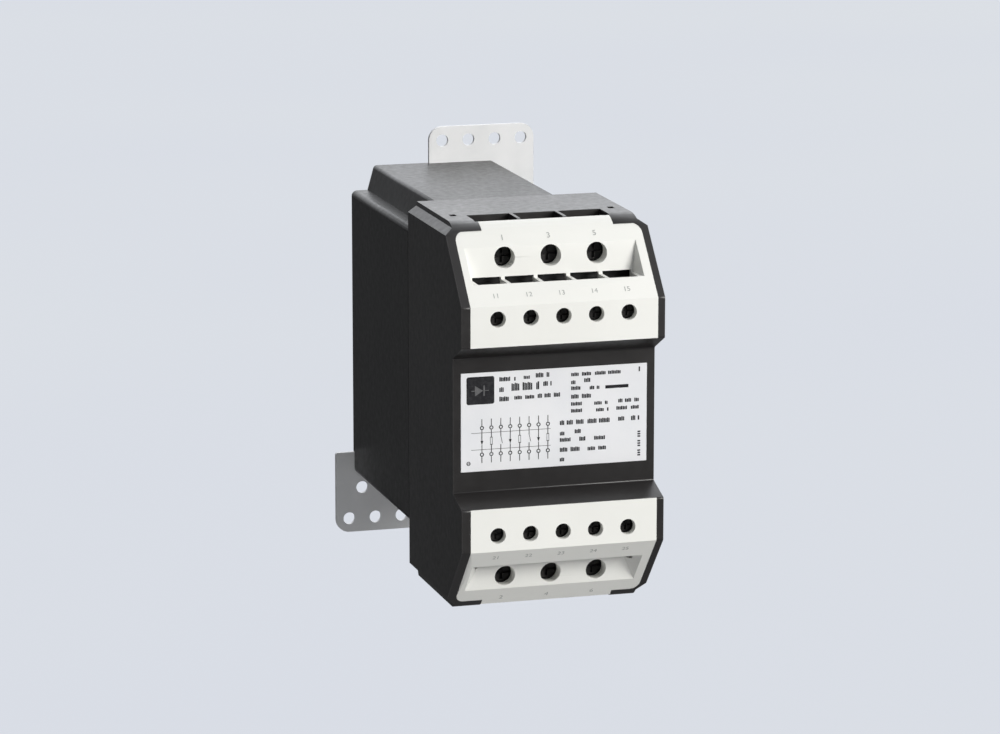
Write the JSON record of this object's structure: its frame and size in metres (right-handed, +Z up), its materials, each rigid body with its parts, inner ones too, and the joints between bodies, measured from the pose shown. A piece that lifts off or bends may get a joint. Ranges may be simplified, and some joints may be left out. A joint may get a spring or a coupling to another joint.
{
  "type": "solid state relay",
  "caption": "Panel-mounted solid state relay with stepped screw terminal covers, a deep ventilated rear body and drilled steel mounting plates.",
  "frame": {"origin": "centre of the rear face height, on the rear mounting plane, under the head's lateral centre", "axes": "+X to the right seen from the front, +Y from the terminals to the mounting panel, +Z up as mounted"},
  "size_m": [0.0791, 0.148, 0.1508],
  "materials": {
    "black_plastic": "satin moulded black",
    "light_plastic": "fine matte light grey",
    "label": "printed paper label",
    "plated_steel": "zinc plated sheet",
    "screw_steel": "nickel plated",
    "blackened_steel": "blackened",
    "clamp_steel": "zinc plated",
    "tinned_brass": "bright",
    "aluminium": "extruded",
    "module_plastic": "moulded epoxy",
    "circuit_board": "solder mask",
    "spacer_plastic": "natural nylon",
    "capacitor_case": "moulded box",
    "varistor_coat": "dipped coat",
    "chip_plastic": "moulded white",
    "transformer_case": "potted"
  },
  "bodies": {
    "housing": {"front_housing": "black_plastic", "rear_housing": "black_plastic", "upper_terminal_cover": "light_plastic", "lower_terminal_cover": "light_plastic", "upper_terminal_block": "black_plastic", "lower_terminal_block": "black_plastic", "rating_label": "label", "upper_mounting_plate": "plated_steel", "lower_mounting_plate": "plated_steel", "mounting_plate_screws": "screw_steel", "housing_screws": "screw_steel", "heat_sink": "aluminium", "thyristor_module_1": "module_plastic", "thyristor_module_2": "module_plastic", "thyristor_module_3": "module_plastic", "module_screws": "screw_steel", "upper_power_bars": "tinned_brass", "lower_power_bars": "tinned_brass", "upper_contact_bars": "tinned_brass", "lower_contact_bars": "tinned_brass", "control_board": "circuit_board", "power_board": "circuit_board", "board_spacers": "spacer_plastic", "snubber_capacitors": "capacitor_case", "varistors": "varistor_coat", "trigger_optocouplers": "chip_plastic", "supply_transformer": "transformer_case"},
    "upper_control_screw_1": {"upper_control_screw_1": "blackened_steel"},
    "upper_control_clamp_1": {"upper_control_clamp_1": "clamp_steel"},
    "upper_control_screw_2": {"upper_control_screw_2": "blackened_steel"},
    "upper_control_clamp_2": {"upper_control_clamp_2": "clamp_steel"},
    "upper_control_screw_3": {"upper_control_screw_3": "blackened_steel"},
    "upper_control_clamp_3": {"upper_control_clamp_3": "clamp_steel"},
    "upper_control_screw_4": {"upper_control_screw_4": "blackened_steel"},
    "upper_control_clamp_4": {"upper_control_clamp_4": "clamp_steel"},
    "upper_control_screw_5": {"upper_control_screw_5": "blackened_steel"},
    "upper_control_clamp_5": {"upper_control_clamp_5": "clamp_steel"},
    "upper_power_screw_1": {"upper_power_screw_1": "blackened_steel"},
    "upper_power_clamp_1": {"upper_power_clamp_1": "clamp_steel"},
    "upper_power_screw_2": {"upper_power_screw_2": "blackened_steel"},
    "upper_power_clamp_2": {"upper_power_clamp_2": "clamp_steel"},
    "upper_power_screw_3": {"upper_power_screw_3": "blackened_steel"},
    "upper_power_clamp_3": {"upper_power_clamp_3": "clamp_steel"},
    "lower_control_screw_1": {"lower_control_screw_1": "blackened_steel"},
    "lower_control_clamp_1": {"lower_control_clamp_1": "clamp_steel"},
    "lower_control_screw_2": {"lower_control_screw_2": "blackened_steel"},
    "lower_control_clamp_2": {"lower_control_clamp_2": "clamp_steel"},
    "lower_control_screw_3": {"lower_control_screw_3": "blackened_steel"},
    "lower_control_clamp_3": {"lower_control_clamp_3": "clamp_steel"},
    "lower_control_screw_4": {"lower_control_screw_4": "blackened_steel"},
    "lower_control_clamp_4": {"lower_control_clamp_4": "clamp_steel"},
    "lower_control_screw_5": {"lower_control_screw_5": "blackened_steel"},
    "lower_control_clamp_5": {"lower_control_clamp_5": "clamp_steel"},
    "lower_power_screw_1": {"lower_power_screw_1": "blackened_steel"},
    "lower_power_clamp_1": {"lower_power_clamp_1": "clamp_steel"},
    "lower_power_screw_2": {"lower_power_screw_2": "blackened_steel"},
    "lower_power_clamp_2": {"lower_power_clamp_2": "clamp_steel"},
    "lower_power_screw_3": {"lower_power_screw_3": "blackened_steel"},
    "lower_power_clamp_3": {"lower_power_clamp_3": "clamp_steel"}
  },
  "joints": [
    {"name": "upper_control_screw_1_turn", "type": "hinge", "parent": "housing", "child": "upper_control_screw_1", "pos_m": [-0.02316, -0.143, 0.0325], "axis": [0, 1, 0], "range_deg": [0, 1440]},
    {"name": "upper_control_clamp_1_lift", "type": "slide", "parent": "housing", "child": "upper_control_clamp_1", "axis": [0, -1, 0], "range_m": [0, 0.002]},
    {"name": "upper_control_screw_2_turn", "type": "hinge", "parent": "housing", "child": "upper_control_screw_2", "pos_m": [-0.01158, -0.143, 0.0325], "axis": [0, 1, 0], "range_deg": [0, 1440]},
    {"name": "upper_control_clamp_2_lift", "type": "slide", "parent": "housing", "child": "upper_control_clamp_2", "axis": [0, -1, 0], "range_m": [0, 0.002]},
    {"name": "upper_control_screw_3_turn", "type": "hinge", "parent": "housing", "child": "upper_control_screw_3", "pos_m": [0, -0.143, 0.0325], "axis": [0, 1, 0], "range_deg": [0, 1440]},
    {"name": "upper_control_clamp_3_lift", "type": "slide", "parent": "housing", "child": "upper_control_clamp_3", "axis": [0, -1, 0], "range_m": [0, 0.002]},
    {"name": "upper_control_screw_4_turn", "type": "hinge", "parent": "housing", "child": "upper_control_screw_4", "pos_m": [0.01158, -0.143, 0.0325], "axis": [0, 1, 0], "range_deg": [0, 1440]},
    {"name": "upper_control_clamp_4_lift", "type": "slide", "parent": "housing", "child": "upper_control_clamp_4", "axis": [0, -1, 0], "range_m": [0, 0.002]},
    {"name": "upper_control_screw_5_turn", "type": "hinge", "parent": "housing", "child": "upper_control_screw_5", "pos_m": [0.02316, -0.143, 0.0325], "axis": [0, 1, 0], "range_deg": [0, 1440]},
    {"name": "upper_control_clamp_5_lift", "type": "slide", "parent": "housing", "child": "upper_control_clamp_5", "axis": [0, -1, 0], "range_m": [0, 0.002]},
    {"name": "upper_power_screw_1_turn", "type": "hinge", "parent": "housing", "child": "upper_power_screw_1", "pos_m": [-0.0164, -0.1256, 0.05065], "axis": [0, 1, 0], "range_deg": [0, 1800]},
    {"name": "upper_power_clamp_1_lift", "type": "slide", "parent": "housing", "child": "upper_power_clamp_1", "axis": [0, -1, 0], "range_m": [0, 0.0035]},
    {"name": "upper_power_screw_2_turn", "type": "hinge", "parent": "housing", "child": "upper_power_screw_2", "pos_m": [0, -0.1256, 0.05065], "axis": [0, 1, 0], "range_deg": [0, 1800]},
    {"name": "upper_power_clamp_2_lift", "type": "slide", "parent": "housing", "child": "upper_power_clamp_2", "axis": [0, -1, 0], "range_m": [0, 0.0035]},
    {"name": "upper_power_screw_3_turn", "type": "hinge", "parent": "housing", "child": "upper_power_screw_3", "pos_m": [0.0164, -0.1256, 0.05065], "axis": [0, 1, 0], "range_deg": [0, 1800]},
    {"name": "upper_power_clamp_3_lift", "type": "slide", "parent": "housing", "child": "upper_power_clamp_3", "axis": [0, -1, 0], "range_m": [0, 0.0035]},
    {"name": "lower_control_screw_1_turn", "type": "hinge", "parent": "housing", "child": "lower_control_screw_1", "pos_m": [-0.02316, -0.143, -0.0425], "axis": [0, 1, 0], "range_deg": [0, 1440]},
    {"name": "lower_control_clamp_1_lift", "type": "slide", "parent": "housing", "child": "lower_control_clamp_1", "axis": [0, -1, 0], "range_m": [0, 0.002]},
    {"name": "lower_control_screw_2_turn", "type": "hinge", "parent": "housing", "child": "lower_control_screw_2", "pos_m": [-0.01158, -0.143, -0.0425], "axis": [0, 1, 0], "range_deg": [0, 1440]},
    {"name": "lower_control_clamp_2_lift", "type": "slide", "parent": "housing", "child": "lower_control_clamp_2", "axis": [0, -1, 0], "range_m": [0, 0.002]},
    {"name": "lower_control_screw_3_turn", "type": "hinge", "parent": "housing", "child": "lower_control_screw_3", "pos_m": [0, -0.143, -0.0425], "axis": [0, 1, 0], "range_deg": [0, 1440]},
    {"name": "lower_control_clamp_3_lift", "type": "slide", "parent": "housing", "child": "lower_control_clamp_3", "axis": [0, -1, 0], "range_m": [0, 0.002]},
    {"name": "lower_control_screw_4_turn", "type": "hinge", "parent": "housing", "child": "lower_control_screw_4", "pos_m": [0.01158, -0.143, -0.0425], "axis": [0, 1, 0], "range_deg": [0, 1440]},
    {"name": "lower_control_clamp_4_lift", "type": "slide", "parent": "housing", "child": "lower_control_clamp_4", "axis": [0, -1, 0], "range_m": [0, 0.002]},
    {"name": "lower_control_screw_5_turn", "type": "hinge", "parent": "housing", "child": "lower_control_screw_5", "pos_m": [0.02316, -0.143, -0.0425], "axis": [0, 1, 0], "range_deg": [0, 1440]},
    {"name": "lower_control_clamp_5_lift", "type": "slide", "parent": "housing", "child": "lower_control_clamp_5", "axis": [0, -1, 0], "range_m": [0, 0.002]},
    {"name": "lower_power_screw_1_turn", "type": "hinge", "parent": "housing", "child": "lower_power_screw_1", "pos_m": [-0.0164, -0.1256, -0.06065], "axis": [0, 1, 0], "range_deg": [0, 1800]},
    {"name": "lower_power_clamp_1_lift", "type": "slide", "parent": "housing", "child": "lower_power_clamp_1", "axis": [0, -1, 0], "range_m": [0, 0.0035]},
    {"name": "lower_power_screw_2_turn", "type": "hinge", "parent": "housing", "child": "lower_power_screw_2", "pos_m": [0, -0.1256, -0.06065], "axis": [0, 1, 0], "range_deg": [0, 1800]},
    {"name": "lower_power_clamp_2_lift", "type": "slide", "parent": "housing", "child": "lower_power_clamp_2", "axis": [0, -1, 0], "range_m": [0, 0.0035]},
    {"name": "lower_power_screw_3_turn", "type": "hinge", "parent": "housing", "child": "lower_power_screw_3", "pos_m": [0.0164, -0.1256, -0.06065], "axis": [0, 1, 0], "range_deg": [0, 1800]},
    {"name": "lower_power_clamp_3_lift", "type": "slide", "parent": "housing", "child": "lower_power_clamp_3", "axis": [0, -1, 0], "range_m": [0, 0.0035]}
  ],
  "couplings": [
    {"joint": "upper_control_screw_1_turn", "follows": "upper_control_clamp_1_lift", "rad_per_m": 12566},
    {"joint": "upper_control_screw_2_turn", "follows": "upper_control_clamp_2_lift", "rad_per_m": 12566},
    {"joint": "upper_control_screw_3_turn", "follows": "upper_control_clamp_3_lift", "rad_per_m": 12566},
    {"joint": "upper_control_screw_4_turn", "follows": "upper_control_clamp_4_lift", "rad_per_m": 12566},
    {"joint": "upper_control_screw_5_turn", "follows": "upper_control_clamp_5_lift", "rad_per_m": 12566},
    {"joint": "upper_power_screw_1_turn", "follows": "upper_power_clamp_1_lift", "rad_per_m": 8976},
    {"joint": "upper_power_screw_2_turn", "follows": "upper_power_clamp_2_lift", "rad_per_m": 8976},
    {"joint": "upper_power_screw_3_turn", "follows": "upper_power_clamp_3_lift", "rad_per_m": 8976},
    {"joint": "lower_control_screw_1_turn", "follows": "lower_control_clamp_1_lift", "rad_per_m": 12566},
    {"joint": "lower_control_screw_2_turn", "follows": "lower_control_clamp_2_lift", "rad_per_m": 12566},
    {"joint": "lower_control_screw_3_turn", "follows": "lower_control_clamp_3_lift", "rad_per_m": 12566},
    {"joint": "lower_control_screw_4_turn", "follows": "lower_control_clamp_4_lift", "rad_per_m": 12566},
    {"joint": "lower_control_screw_5_turn", "follows": "lower_control_clamp_5_lift", "rad_per_m": 12566},
    {"joint": "lower_power_screw_1_turn", "follows": "lower_power_clamp_1_lift", "rad_per_m": 8976},
    {"joint": "lower_power_screw_2_turn", "follows": "lower_power_clamp_2_lift", "rad_per_m": 8976},
    {"joint": "lower_power_screw_3_turn", "follows": "lower_power_clamp_3_lift", "rad_per_m": 8976}
  ]
}
